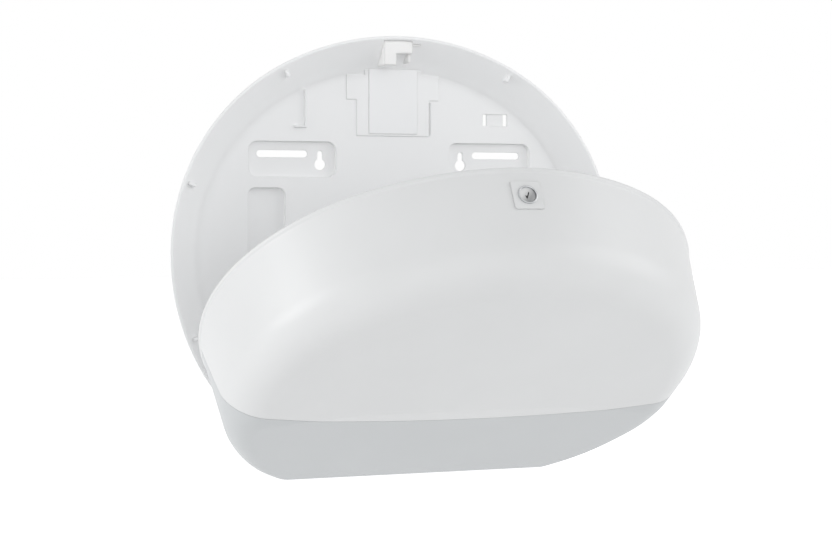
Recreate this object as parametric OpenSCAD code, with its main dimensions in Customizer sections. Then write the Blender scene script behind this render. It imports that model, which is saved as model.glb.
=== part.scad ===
// Jumbo toilet roll dispenser, wall mounted, shown with its cover hanging open.
// Frame: X to the right, Y into the wall (the wall is y = 0), Z up. The lowest
// edge of the closed body is z = 0. Parts are drawn in a "wall frame" of
// x, height and depth out from the wall, and stood up by on_wall().

/* [Outline] */
// Width across the widest line
body_w = 437; // [420:1:470]
// How much lower the arch is than half the width
arch_flat = 16.5; // [12:0.5:28]
// Height from the flat bottom up to the widest line
skirt_h = 158; // [145:1:170]
// How much tighter the side arcs are than the arch height
arch_ease = 6; // [4:0.5:14]
// Distance of the lower side arcs' centres from the centre line
skirt_in = 7.5; // [2:0.5:16]
// Depth from the wall to the middle of the front
body_d = 132; // [126:0.5:145]

/* [Back plate] */
// Wall thickness of the plate
plate_t = 2.8; // [2:0.1:4]
// Depth of the rim edge
rim_d = 31; // [26:0.5:34]
// Width of the flat lip on the rim
rim_lip = 2.4; // [1.5:0.1:4]
// Width of the sloping flank, measured in from the edge
flank_w = 29; // [24:0.5:34]
// Depth of the front of the flat base
base_d = 8; // [6.5:0.1:10]
// Distance from the long slot's outer end to the pocket's edge
pocket_edge = 8.5; // [6:0.5:12]
// Height of the pocket's middle above the widest line
pocket_up = 87.5; // [80:0.5:94]
// Width of the pocket
pocket_w = 84; // [80:0.5:88]
// Height of the pocket
pocket_h = 33; // [29:0.5:38]
// Corner radius of the pocket
pocket_r = 8; // [4:0.5:12]
// Distance of the long slot's middle from the widest line's end
slot_side = 111.6; // [107:0.1:115]
// Height of the long slot above the pocket's middle
slot_up = 5.1; // [2:0.1:7]
// Overall length of the long slot
slot_l = 49.2; // [40:0.1:52]
// Width of the long slot
slot_w = 6.6; // [5:0.1:8]
// Distance of the keyhole's middle from the long slot's inner end
key_gap = 12.1; // [9:0.1:15]
// Drop of the keyhole's round part below the pocket's middle
key_drop = 4.5; // [2:0.1:6]
// Diameter of the keyhole's round part
key_d = 10.8; // [9:0.1:12]
// Width of the keyhole's neck
key_neck = 5.3; // [4.4:0.1:6.5]
// Rise of the neck's end above the round part
key_rise = 10; // [8:0.1:12]

/* [Cover] */
// Wall thickness of the cover
shell_t = 2.8; // [2:0.1:3.6]
// Gap between the plate rim and the closed cover
seam = 1.4; // [0.8:0.1:3]
// Draft angle of the cover's side wall
draft = 6.3; // [3:0.1:8]
// Radius of the bend from wall to front
bend_r = 37; // [28:1:45]
// Height of the cover's bottom edge
cover_z = 3; // [1:0.5:5]
// Rise angle of the crowned front
crown_a = 1.8; // [1:0.1:2.5]
// Width of the crowned zone
crown_w = 84; // [60:1:90]
// How far the lower band's front stands back at the bottom edge
band_back = 20; // [17:0.5:23]
// Lean of the lower band's front
band_lean = 7.6; // [6:0.1:9]
// Height of the white and grey boundary at the centre of the front
border_z = 133; // [126:1:142]
// Radius of the boundary's curve
border_r = 1300; // [900:50:1600]
// Fall of the boundary towards the rear
border_fall = 25; // [15:1:32]
// Gap between the white shell and the grey band
border_gap = 0.3; // [0.2:0.05:0.6]
// Width of the shell's tongue behind the band
lap_w = 9; // [6:0.5:14]
// Thickness of that tongue
lap_t = 2; // [1.2:0.1:3]
// Gap between the tongue and the band
lap_gap = 0.1; // [0.05:0.05:0.4]
// Height of the step round the cover's rear edge
bead_h = 0.9; // [0.4:0.1:1.5]
// Width of that step
bead_w = 4.5; // [3:0.1:6]
// Height above the bottom where the white rear strip ends
strip_z = 52; // [44:1:70]
// Radius of the soft edge between the band's front and its side walls
edge_r = 20; // [12:1:30]
// How far the cover hangs open
open_a = 54; // [40:1:56]

/* [Hinge] */
// Depth of the hinge axis
hinge_d = 49; // [47:0.5:52]
// Height of the hinge axis
hinge_z = 17; // [15:0.5:20]
// Diameter of the hinge pins
pin_d = 6; // [4:0.1:8]
// Radial clearance of the pin in the moving arm
pin_clear = 0.05; // [0.02:0.01:0.1]
// Thickness of the hinge ears and arms
ear_t = 5; // [3.5:0.1:6]
// Side gap between an ear and its arm
ear_gap = 0.4; // [0.3:0.05:1]
// Gap between the arm and the start of the band's soft edge
arm_gap = 2; // [1:0.5:8]
// Radius of the knuckles
knuckle_r = 8; // [7:0.1:9]
// Reach of the stop lugs from the hinge axis
stop_r = 13; // [11.5:0.1:14]

/* [Lock] */
// Depth of the middle of the lock
lock_d = 57; // [54:0.5:62]
// Width and height of the square bezel
bezel_w = 25; // [22:0.5:28]
// Diameter of the lock's metal head
head_d = 16.4; // [14:0.1:19]
// Diameter of the rotating plug
plug_d = 11.6; // [9:0.1:12]
// Radial clearance of the plug in its barrel
plug_clear = 0.05; // [0.02:0.01:0.1]
// Length of the barrel below the head
barrel_l = 20; // [17:0.5:22]
// Width of the cam's hook
hook_w = 3; // [2:0.25:4]
// Gap between the hook and the keeper
catch_gap = 0.5; // [0.3:0.1:1]
// Thickness of the cam
cam_t = 3; // [2:0.1:3.5]
// Quarter turn of the lock
lock_turn = 90; // [60:5:90]

/* [Spindle] */
// Height of the roll spindle
spindle_z = 165; // [150:1:185]
// Diameter of the fixed axle
axle_d = 12; // [8:0.5:16]
// Radial clearance of the spindle on its axle
axle_clear = 0.06; // [0.02:0.01:0.1]
// Length of the spindle beyond its flange
spindle_l = 86; // [70:1:92]
// Diameter over the spindle's ribs
spindle_d = 54; // [46:0.5:58]
// Diameter of the spindle's flange
flange_d = 96; // [80:1:120]
// Thickness of the spindle's flange
flange_t = 3; // [2:0.1:4]
// Running gap behind the flange
flange_gap = 2; // [1.5:0.1:3]

/* [Bottom frame] */
// Width of the toothed wing beside the paper exit
wing_w = 22.9; // [20:0.1:30]
// Thickness of the frame's floor
floor_t = 3; // [2:0.1:4]
// Height of the frame's underside above the bottom edge
floor_z = 1; // [0.5:0.1:3]
// Depth of the front end of the side wings
wing_d = 103; // [96:0.5:104]
// Pitch of the tear teeth
tooth_p = 3; // [2:0.25:5]
// Height of the tear teeth
tooth_h = 4; // [2:0.25:5]
// Thickness of the tear bars
bar_t = 1.2; // [0.8:0.1:2]
// Width of the tear bars behind the teeth
bar_w = 12; // [8:0.5:14]

/* [Hidden] */
$fn = 96;

far = 300;                                   // past every edge of the body
eps = 0.01;
half_w = body_w / 2;
slot_x = half_w - slot_side;                  // middle of the long slot from the centre line
key_x = slot_x - slot_l / 2 - key_gap;
pocket_x = slot_x + slot_l / 2 + pocket_edge - pocket_w / 2;
pocket_z = skirt_h + pocket_up;
slot_z = pocket_z + slot_up;
key_z = pocket_z - key_drop;
band_d = body_d - band_back;
arch_h = half_w - arch_flat;                  // height of the arch above the widest line
body_h = skirt_h + arch_h;
side_r = arch_h - arch_ease;
side_cx = half_w - side_r;
skirt_cx = skirt_in;
skirt_r = half_w - skirt_in;                  // radius of the lower side arcs
top_r = (side_cx ^ 2 + arch_h ^ 2 - side_r ^ 2) / (2 * (arch_h - side_r));
top_cz = body_h - top_r;
top_half_a = atan2(side_cx, top_r - arch_h);  // half angle of the top arc

cover_d = rim_d + seam;                       // depth of the cover's rear edge
bend_cd = body_d - crown_w * tan(crown_a) - bend_r * cos(crown_a);
bend_cs = bead_h + (bend_cd - cover_d) * tan(draft) + bend_r / cos(draft);
crown_s = bend_cs - bend_r * sin(crown_a) + crown_w;
bend_steps = 9;

// Depth of the sloping flank's front at a distance in from the edge
function flank_d(e) = base_d + (flank_w - e) * (rim_d - base_d) / (flank_w - rim_lip);

// Half width inside the cover at a height, with the cover's wall offset
function skirt_half(z, off) = skirt_cx + sqrt((skirt_r - off) ^ 2 - (skirt_h - z) ^ 2);
// Depth of the lower band's front face at a height
function band_front(z, off) = band_d + z * tan(band_lean) - off / cos(band_lean);
// Offset of the cover's outer face at a depth on the straight part of the wall
function wall_off(d) = bead_h + (d - cover_d) * tan(draft);

foot_z0 = hinge_z + 3;                        // foot of the hinge arm on the band
foot_z1 = foot_z0 + 26;
arm_x1 = skirt_half(foot_z0, wall_off(wing_d) + shell_t + edge_r) - arm_gap;
arm_x0 = arm_x1 - ear_t;
ear_x1 = arm_x0 - ear_gap;
ear_x0 = ear_x1 - ear_t;
exit_half = ear_x1 - wing_w;                  // half width of the paper exit
pin_head_t = 2;
pin_head_d = pin_d + 3;

lock_z = body_h - wall_off(lock_d);           // where the lock meets the wall

module on_wall() {
    rotate([90, 0, 0]) children();
}

// Swings the cover's parts down about the hinge, from closed to hanging open
module swung(a = open_a) {
    translate([0, hinge_z, hinge_d])
        rotate([a, 0, 0])
            translate([0, -hinge_z, -hinge_d]) children();
}

// Extrudes a height and depth outline across the body, centred on x = 0
module across(w) {
    translate([-w / 2, 0, 0]) rotate([90, 0, 90]) linear_extrude(w) children();
}

// The same, from x0 to x1
module slab(x0, x1) {
    translate([min(x0, x1), 0, 0])
        rotate([90, 0, 90]) linear_extrude(abs(x1 - x0)) children();
}

module arc_of(cx, cz, r, a0, a1) {
    translate([cx, cz, 0]) rotate([0, 0, a0])
        rotate_extrude(angle = a1 - a0) translate([r, 0]) children();
}

// Carries a section along the oval outline. The section is drawn with its
// outer edge at x = 0, inwards to the left, and depth upwards.
module along_outline() {
    arc_of(0, top_cz, top_r, 90 - top_half_a, 90 + top_half_a) children();
    arc_of(side_cx, skirt_h, side_r, 0, 90 - top_half_a) children();
    arc_of(-side_cx, skirt_h, side_r, 90 + top_half_a, 180) children();
    arc_of(skirt_cx, skirt_h, skirt_r, -90, 0) children();
    arc_of(-skirt_cx, skirt_h, skirt_r, 180, 270) children();
    translate([skirt_cx, skirt_h, 0]) rotate([90, 0, -90])
        linear_extrude(2 * skirt_cx) translate([skirt_r, 0]) children();
}

module upper_half(z0) {
    translate([-far, z0]) square([2 * far, 2 * far]);
}

// The oval outline, drawn in by an offset and left open below
module outline(off) {
    intersection() {
        union() {
            translate([side_cx, skirt_h]) circle(r = side_r - off);
            translate([-side_cx, skirt_h]) circle(r = side_r - off);
        }
        upper_half(skirt_h);
    }
    intersection() {
        translate([0, top_cz]) circle(r = top_r - off);
        polygon([
            [0, top_cz],
            [far * sin(top_half_a), top_cz + far * cos(top_half_a)],
            [-far * sin(top_half_a), top_cz + far * cos(top_half_a)]
        ]);
    }
    intersection() {
        union() {
            translate([skirt_cx, skirt_h]) circle(r = skirt_r - off);
            translate([-skirt_cx, skirt_h]) circle(r = skirt_r - off);
            translate([-skirt_cx, skirt_h - skirt_r + off])
                square([2 * skirt_cx, skirt_r - off]);
        }
        translate([-far, skirt_h - 2 * far]) square([2 * far, 2 * far]);
    }
}

module rounded_rect(w, h, r) {
    union() {
        square([w - 2 * r, h], center = true);
        square([w, h - 2 * r], center = true);
        for (x = [-1, 1], y = [-1, 1])
            translate([x * (w / 2 - r), y * (h / 2 - r)]) circle(r = r);
    }
}

module slot2d(l, w) {
    square([l - w, w], center = true);
    for (x = [-1, 1]) translate([x * (l - w) / 2, 0]) circle(d = w);
}

// ---------------------------------------------------------------- back plate

module rim_section() {
    edge_t = plate_t + 0.6;
    polygon([
        [0, rim_d], [-rim_lip, rim_d], [-flank_w, base_d],
        [-flank_w, base_d - plate_t], [-rim_lip, rim_d - edge_t],
        [0, rim_d - edge_t]
    ]);
}

module keyhole2d() {
    circle(d = key_d);
    translate([-key_neck / 2, 0]) square([key_neck, key_rise]);
    translate([0, key_rise]) circle(d = key_neck);
}

module pocket_shape(grow) {
    rounded_rect(pocket_w + 2 * grow, pocket_h + 2 * grow, pocket_r + grow);
}

// Footprint of the arched recess on the left
arch_x = -123;
arch_w = 36;
arch_top = 219;
arch_low = 125;
module arch_shape(grow) {
    translate([arch_x, (arch_top + arch_low) / 2])
        rounded_rect(arch_w + 2 * grow, arch_top - arch_low + 2 * grow, 7 + grow);
}

// Stepped pad that carries the label panel
pad_drop = 92;
pad_low = 34;
pad_high = 23;
pad_z0 = body_h - pad_drop;
pad_z1 = pad_z0 + pad_low;
pad_z2 = pad_z1 + pad_high;
pad_half0 = 36;
pad_half1 = 46;
pad_t = 0.8;
label_half = 24;
label_edge = 2;
label_h = 61;
label_z0 = pad_z0 + label_edge;
label_z1 = label_z0 + label_h;

module pad_shape() {
    translate([-pad_half0, pad_z0]) square([2 * pad_half0, pad_z1 - pad_z0 + eps]);
    translate([-pad_half1, pad_z1]) square([2 * pad_half1, pad_z2 - pad_z1]);
    translate([-label_half - 4, pad_z2 - eps])
        square([2 * label_half + 8, label_z1 - pad_z2 + 3]);
}

clip_x = 104;
clip_z = 284.5;
clip_span = 21;
clip_hole_w = 4.2;
clip_hole_h = 11;

lug_angles = [-22, 20, 62, 118, 160, 202];
lug_w = 3;
lug_in = 13;
lug_out = 6;
lug_drop = 1.2;
seat_d = 120;                                 // diameter of the spindle's seat
carrier_t = 4;

module lug(r) {
    rotate([90, 0, 0]) linear_extrude(lug_w, center = true) polygon([
        [r - lug_in, flank_d(lug_in) - 1], [r - lug_in, rim_d - lug_drop],
        [r - lug_out, rim_d - lug_drop], [r - lug_out, flank_d(lug_out) - 1]
    ]);
}

// Small stops round the rim that the closed cover rests on
module lugs() {
    for (a = lug_angles) let (c = arc_at(a))
        translate([c[0], c[1], 0]) rotate([0, 0, a]) lug(c[2]);
}

module back_plate() color("#e6eaec") on_wall() {
    difference() {
        union() {
            intersection() {
                union() {
                    along_outline() rim_section();
                    translate([0, 0, base_d - plate_t])
                        linear_extrude(plate_t) outline(flank_w);
                }
                translate([-far, 0, -1]) cube([2 * far, 2 * far, rim_d + 2]);
            }
            for (side = [-1, 1])
                translate([side * pocket_x, pocket_z, 0])
                    linear_extrude(base_d) pocket_shape(plate_t);
            linear_extrude(base_d) arch_shape(plate_t);
            translate([0, spindle_z, 0]) cylinder(d = seat_d, h = base_d);
            translate([0, 0, base_d - eps]) linear_extrude(pad_t + eps) pad_shape();
            lugs();
            translate([-87, 275, base_d - eps]) cube([2, 35, 3]);
            translate([-97, 275, base_d - eps]) cube([12, 2, 3]);
        }
        for (side = [-1, 1]) {
            translate([side * pocket_x, pocket_z, plate_t])
                linear_extrude(base_d) pocket_shape(0);
            translate([side * slot_x, slot_z, -1])
                linear_extrude(base_d + 2) slot2d(slot_l, slot_w);
            translate([side * key_x, key_z, -1])
                linear_extrude(base_d + 2) keyhole2d();
        }
        translate([0, 0, plate_t]) linear_extrude(base_d) arch_shape(0);
        for (side = [-1, 1])
            translate([clip_x + side * clip_span / 2 - clip_hole_w / 2, clip_z - clip_hole_h / 2, -1])
                cube([clip_hole_w, clip_hole_h, base_d + 2]);
        translate([clip_x - clip_span / 2, clip_z - clip_hole_h / 2, base_d - 1])
            cube([clip_span, clip_hole_h, 2]);
        translate([pad_half0 + 0.6, pad_z0 + 1, -1]) cube([1.1, 31, base_d + 2]);
        translate([0, spindle_z, -1]) cylinder(d = axle_d + 1, h = base_d + 2);
        carrier_screw_places() translate([0, 0, -1]) cylinder(d = screw_d, h = base_d + 2);
        frame_screw_places() translate([0, 0, -1]) cylinder(d = screw_d, h = base_d + 2);
        translate([-label_half, label_z0, base_d]) cube([2 * label_half, label_z1 - label_z0, 2]);
    }
    frame_screw_bosses();
}

screw_d = 4;
screw_head_d = 8;
screw_head_t = 2.4;
carrier_screw_r = 42;
frame_screw_z = 16;
frame_screw_out = skirt_half(frame_screw_z, flank_w) - 21;
frame_screw_x = [-1, -0.4, 0.4, 1] * frame_screw_out;
boss_t = base_d - plate_t;

module carrier_screw_places() {
    for (a = [45:90:315])
        translate([carrier_screw_r * cos(a), spindle_z + carrier_screw_r * sin(a), 0]) children();
}

module frame_screw_places() {
    for (x = frame_screw_x) translate([x, frame_screw_z, 0]) children();
}

// Stand-offs behind the base, round the screws of the bottom frame
module frame_screw_bosses() {
    frame_screw_places() difference() {
        cylinder(d = screw_d + 6, h = boss_t + eps);
        translate([0, 0, -1]) cylinder(d = screw_d, h = boss_t + 2);
    }
}

module screw(l) {
    cylinder(d = screw_d, h = l);
    translate([0, 0, l]) difference() {
        cylinder(d = screw_head_d, h = screw_head_t);
        for (a = [0, 90]) rotate([0, 0, a])
            translate([-2.4, -0.5, screw_head_t - 1.2]) cube([4.8, 1, 2]);
    }
}

module label_panel() color("#eef1f2") on_wall() {
    translate([-label_half + 0.1, label_z0 + 0.1, base_d])
        cube([2 * label_half - 0.2, label_z1 - label_z0 - 0.2, pad_t + 0.5]);
}

// Keeper that the lock's cam swings behind
keeper_x0 = -16;
keeper_x1 = 12;
keeper_top = 3.5;                             // distance of its top below the body's top
keeper_front = rim_d - 1;
keeper_h = 27;
ear_drop = 16;
ear_z0 = body_h - keeper_h;
ear_z1 = body_h - ear_drop;
ear_t2 = 2.4;
ear_back = keeper_front - ear_t2;
rib_t = 3;
rib_deep = 16;
tab_l = 9;

module latch_keeper() color("#f0f2ee") on_wall() {
    difference() {
        union() {
            translate([keeper_x0, ear_z1, base_d])
                cube([keeper_x1 - keeper_x0, body_h - keeper_top - ear_z1, keeper_front - base_d]);
            translate([keeper_x0, ear_z0, base_d])
                cube([rib_t, ear_z1 - ear_z0, keeper_front - base_d]);
            translate([keeper_x0, ear_z0, ear_back])
                cube([rib_t + tab_l, ear_z1 - ear_z0, ear_t2]);
            translate([keeper_x1 - rib_t, ear_z0 + rib_t, base_d])
                cube([rib_t, ear_z1 - ear_z0, rib_deep]);
            translate([keeper_x1, body_h - keeper_top - 5.5, base_d])
                cube([tab_l, rib_t + 0.5, keeper_front - base_d - 2]);
        }
        plate_fill(0.05);
    }
}

// Everything behind the plate's front surface, grown by a gap
module plate_fill(gap) {
    along_outline() polygon([
        [1, rim_d + gap], [-rim_lip - gap, rim_d + gap],
        [-flank_w, base_d + gap], [-flank_w, -1], [1, -1]
    ]);
    translate([0, 0, -1]) linear_extrude(base_d + 1) outline(flank_w);
}

// ------------------------------------------------------------------- spindle

hub_d0 = base_d + carrier_t + flange_gap;     // depth of the back of the flange
hub_d1 = hub_d0 + flange_t + spindle_l;       // depth of the spindle's nose
nose_bore = 30;
nose_deep = 9;
washer_t = 1.5;
washer_d = 24;

module at_spindle(d) {
    translate([0, spindle_z, d]) children();
}

module spindle_carrier() color("#d9dde0") on_wall() at_spindle(base_d) {
    difference() {
        union() {
            cylinder(d = seat_d - 10, h = carrier_t);
            cylinder(d = axle_d + 16, h = carrier_t + flange_gap - 0.3);
        }
        translate([0, 0, -1]) cylinder(d = axle_d, h = carrier_t + flange_gap + 2);
        for (a = [45:90:315]) rotate([0, 0, a]) translate([carrier_screw_r, 0, -1]) {
            cylinder(d = screw_d, h = carrier_t + 2);
            translate([0, 0, 1 + carrier_t - screw_head_t]) cylinder(d = screw_head_d, h = 4);
        }
    }
}

module carrier_screws() color("#b8bcc0") on_wall()
    carrier_screw_places() translate([0, 0, 1.6])
        screw(base_d + carrier_t - screw_head_t - 1.6);

module spindle_axle() color("#b8bcc0") on_wall() at_spindle(0) difference() {
    union() {
        translate([0, 0, 0.6]) cylinder(d = axle_d, h = hub_d1 - nose_deep - 0.6 + 0.3);
        cylinder(d = axle_d + 1, h = 1.2);
    }
    translate([0, 0, hub_d1 - nose_deep - 16]) cylinder(d = 5, h = 20);
}

module roll_spindle() color("#cfd4d8") on_wall() at_spindle(hub_d0) difference() {
    union() {
        cylinder(d = flange_d, h = flange_t);
        cylinder(d = nose_bore + 6, h = flange_t + spindle_l - 8);
        translate([0, 0, flange_t + spindle_l - 8])
            cylinder(d1 = nose_bore + 6, d2 = nose_bore + 2.5, h = 8);
        for (a = [0:60:300]) rotate([0, 0, a]) rotate([90, 0, 0])
            translate([0, 0, -1.5]) linear_extrude(3) polygon([
                [nose_bore / 2 - 2, 0], [spindle_d / 2, 0],
                [spindle_d / 2, flange_t + spindle_l - 22],
                [nose_bore / 2 + 2, flange_t + spindle_l - 9],
                [nose_bore / 2 - 2, flange_t + spindle_l - 9]
            ]);
    }
    translate([0, 0, -1]) cylinder(d = axle_d + 2 * axle_clear, h = spindle_l + 10);
    translate([0, 0, flange_t + spindle_l - nose_deep]) cylinder(d = nose_bore, h = 20);
    for (a = [30:60:330]) rotate([0, 0, a])
        translate([(flange_d + nose_bore) / 4 + 2, 0, -1]) cylinder(d = 12, h = flange_t + 2);
}

module spindle_washer() color("#c4c8cc") on_wall() at_spindle(hub_d1 - nose_deep + 0.3)
    difference() {
        cylinder(d = washer_d, h = washer_t);
        translate([0, 0, -1]) cylinder(d = 5, h = 5);
    }

module spindle_screw() color("#b0b4b8") on_wall()
    at_spindle(hub_d1 - nose_deep - 14) difference() {
        union() {
            cylinder(d = 5, h = 14 + 0.3 + washer_t + 0.5);
            translate([0, 0, 14 + 0.3 + washer_t]) cylinder(d = 10, h = 3);
        }
        translate([0, 0, 16.8]) cylinder(d = 4.6, h = 4, $fn = 6);
    }

// Leaf that drags on the flange, so that the roll doesn't run on
module brake_leaf() color("#c9cdd1") on_wall()
    translate([0, spindle_z + 16, base_d + carrier_t]) rotate([90, 0, 90])
        translate([0, 0, -5]) linear_extrude(10) polygon([
            [0, 0], [10, 0], [20, flange_gap - 0.9], [24, flange_gap - 0.9],
            [24, flange_gap - 0.3], [19.8, flange_gap - 0.3], [9.8, 0.6], [0, 0.6]
        ]);

// -------------------------------------------------------------- bottom frame

flange_h = 27;
wing_x1 = ear_x1;
wing_x0 = exit_half + tooth_h;
guide_x = wing_x0 + bar_w + 1;
bar_z = floor_z + floor_t;
rivet_depths = [24, 90];

module ear_shape() {
    translate([hinge_z, hinge_d]) circle(r = stop_r + 1);
    translate([floor_z, base_d]) square([flange_h, hinge_d - base_d]);
    translate([floor_z, base_d]) square([hinge_z - floor_z, hinge_d + stop_r - base_d]);
}

// Piece of a ring about the hinge axis, between two angles from the front
module hinge_ring(r0, r1, a0, a1) {
    intersection() {
        translate([hinge_z, hinge_d]) difference() {
            circle(r = r1);
            circle(r = r0);
        }
        translate([hinge_z, hinge_d]) polygon([
            [0, 0], [2 * r1 * sin(a0), 2 * r1 * cos(a0)],
            [3 * r1 * sin((a0 + a1) / 2), 3 * r1 * cos((a0 + a1) / 2)],
            [2 * r1 * sin(a1), 2 * r1 * cos(a1)]
        ]);
    }
}

stop_a0 = 52;
stop_a1 = 80;
stop_gap_a = 1.5;
lug_a0 = stop_a1 + stop_gap_a + open_a;
lug_a1 = lug_a0 + 20;

module bottom_frame() color("#dfe3e6") on_wall() difference() {
    union() {
        translate([-wing_x1, floor_z, base_d]) cube([2 * wing_x1, flange_h, floor_t]);
        for (side = [-1, 1]) {
            slab(side * wing_x0, side * wing_x1)
                translate([floor_z, base_d]) square([floor_t, wing_d - base_d]);
            slab(side * ear_x0, side * ear_x1) intersection() {
                ear_shape();
                translate([floor_z, 0]) square([60, 90]);
            }
            slab(side * guide_x, side * (guide_x + 2.5))
                translate([floor_z, base_d]) square([14, wing_d - base_d - 6]);
            slab(side * (ear_x1 - eps), side * arm_x1)
                hinge_ring(knuckle_r + 0.4, stop_r, stop_a0, stop_a1);
        }
    }
    plate_fill(0.05);
    frame_screw_places() cylinder(d = screw_d, h = 40);
    translate([-far, hinge_z, hinge_d]) rotate([0, 90, 0]) cylinder(d = pin_d, h = 2 * far);
    tear_rivet_places() translate([0, -5, 0]) rotate([-90, 0, 0]) cylinder(d = 3, h = 10);
}

module frame_screws() color("#b8bcc0") on_wall()
    frame_screw_places() translate([0, 0, 1.6]) screw(base_d + floor_t - 1.6);

module tear_rivet_places() {
    for (side = [-1, 1], d = rivet_depths)
        translate([side * (wing_x0 + bar_w * 0.6), bar_z, d]) children();
}

// Serrated strip along the side of the paper exit, teeth towards the middle
module tear_bar(side) on_wall() {
    n = floor((wing_d - base_d - floor_t - 4) / tooth_p);
    d0 = base_d + floor_t + 1;
    difference() {
        translate([0, bar_z, 0]) rotate([-90, 0, 0]) mirror([0, 1, 0])
            linear_extrude(bar_t) mirror([side < 0 ? 1 : 0, 0]) polygon(concat(
                [[wing_x0 + bar_w, d0]],
                [for (i = [0:n - 1], k = [0, 1])
                    [k == 0 ? wing_x0 : exit_half, d0 + (i + k / 2) * tooth_p]],
                [[wing_x0, d0 + n * tooth_p], [wing_x0 + bar_w, d0 + n * tooth_p]]
            ));
        tear_rivet_places() translate([0, -1, 0]) rotate([-90, 0, 0]) cylinder(d = 3, h = 5);
    }
}

module tear_bar_left() color("#c2c7cb") tear_bar(-1);
module tear_bar_right() color("#c2c7cb") tear_bar(1);

module tear_bar_rivets() color("#aeb2b6") on_wall() tear_rivet_places() {
    translate([0, -floor_t, 0]) rotate([-90, 0, 0]) cylinder(d = 3, h = floor_t + bar_t);
    translate([0, bar_t, 0]) rotate([-90, 0, 0]) cylinder(d = 5.5, h = 1.2);
}

module hinge_pin(side) color("#b4b8bc") on_wall()
    mirror([side < 0 ? 1 : 0, 0, 0]) translate([0, hinge_z, hinge_d]) rotate([0, 90, 0]) {
        translate([0, 0, ear_x0 - 1]) cylinder(d = pin_d, h = arm_x1 - ear_x0 + 1.5);
        translate([0, 0, arm_x1 + 0.4]) cylinder(d = pin_head_d, h = pin_head_t);
    }

module hinge_pin_left() hinge_pin(-1);
module hinge_pin_right() hinge_pin(1);

// --------------------------------------------------------------------- cover

// Normal directions of the columns that the cover's surface is worked out on
cover_turns = concat(
    [-90, -80, -70, -60], [for (i = [0:12]) -54 + i * 4.5],
    [for (i = [1:15]) i * (90 - top_half_a) / 15],
    [for (i = [1:15]) 90 - top_half_a + i * top_half_a / 7.5],
    [for (i = [1:15]) 90 + top_half_a + i * (90 - top_half_a) / 15],
    [for (i = [1:12]) 180 + i * 4.5], [240, 250, 260, 270]
);

// Centre and radius of the outline's arc with this normal direction
function arc_at(t) =
    let (side = cos(t) < 0 ? -1 : 1)
    abs(t - 90) < top_half_a ? [0, top_cz, top_r]
    : t > 0 && t < 180 ? [side * side_cx, skirt_h, side_r]
    : [side * skirt_cx, skirt_h, skirt_r];

function ease(v) = let (c = min(1, max(0, v))) c * c * (3 - 2 * c);

// Bend radius: full round the arch, softening to the edge radius on the skirt
function bend_at(t) = edge_r + (bend_r - edge_r) * ease((sin(t) + 0.45) / 0.45);

// Where a rising and a falling front line cross, from their depths at inset 0
function crossing(d1, m1, d2, m2) = abs(m1 - m2) < eps / 100 ? 0 : (d2 - d1) / (m1 - m2);

// Section of the cover at a normal direction, as pairs of inset and depth: rear edge,
// step, draughted wall, bend, then the lower of the crowned front and the leaning band
function cover_section(t, off) =
    let (
        arc = arc_at(t),
        r = bend_at(t) - off,
        lean = tan(band_lean),
        crown_m = tan(crown_a),
        crown_0 = body_d - off - crown_s * crown_m,
        band_m = -lean * sin(t),
        band_0 = band_front(arc[1] + arc[2] * sin(t), off),
        wall_0 = bead_h - cover_d * tan(draft) + (off + r) / cos(draft),
        by_crown = (crown_0 + crown_m * wall_0 - r / cos(crown_a)) / (1 - crown_m * tan(draft)),
        by_band = (band_0 + band_m * wall_0 - r * sqrt(1 + band_m ^ 2))
            / (1 - band_m * tan(draft)),
        on_band = by_band < by_crown,
        cd = min(by_crown, by_band),
        ci = wall_0 + cd * tan(draft),
        end_a = 90 - (on_band ? atan(band_m) : crown_a),
        end_i = ci - r * cos(end_a),
        cross_i = min(crown_s - 1, max(end_i + 1, crossing(crown_0, crown_m, band_0, band_m))),
        o = off / cos(draft)
    )
    concat(
        [[o, cover_d - off], [o, cover_d + bead_w / 4]],
        [[o + wall_off(cover_d + bead_w), cover_d + bead_w]],
        [for (i = [0:bend_steps]) let (a = draft + i * (end_a - draft) / bend_steps)
            [ci - r * cos(a), cd + r * sin(a)]],
        [for (i = [cross_i, crown_s])
            [i, min(crown_0 + crown_m * i, band_0 + band_m * i)]]
    );

// Solid of the cover, drawn in by an offset: the sections stand round the outline, and
// the front closes on a point of the line where the front meets the band
module cover_solid(off) {
    sections = [for (t = cover_turns) cover_section(t, off)];
    n = len(cover_turns);
    m = len(sections[0]);
    front_z = (body_d - off - band_front(0, off)) / tan(band_lean);
    polyhedron(
        points = concat(
            [for (k = [0:n - 1]) let (t = cover_turns[k], arc = arc_at(t))
                for (p = sections[k])
                    [arc[0] + (arc[2] - p[0]) * cos(t), arc[1] + (arc[2] - p[0]) * sin(t), p[1]]],
            [[0, front_z, body_d - off], [0, skirt_h, cover_d - off]]
        ),
        faces = concat(
            [for (k = [0:n - 1], j = [0:m - 2]) let (a = k * m + j, b = (k + 1) % n * m + j)
                each [[a, a + 1, b + 1], [a, b + 1, b]]],
            [for (k = [0:n - 1]) [k * m + m - 1, n * m, (k + 1) % n * m + m - 1]],
            [for (k = [0:n - 1]) [k * m, (k + 1) % n * m, n * m + 1]]
        ),
        convexity = 6
    );
}

// Rounds the rear lower corners about the hinge, so that they clear the rim
module corner_trim() {
    difference() {
        across(2 * far) translate([-1, cover_d - 5])
            square([hinge_z + 1, hinge_d - cover_d + 5]);
        translate([-far, hinge_z, hinge_d]) rotate([0, 90, 0])
            cylinder(r = hinge_d - cover_d, h = 2 * far);
    }
}

module cover_hollow() {
    difference() {
        cover_solid(0);
        cover_solid(shell_t);
        translate([-far, cover_z - far, 0]) cube([2 * far, far, far]);
        corner_trim();
    }
}

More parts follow.
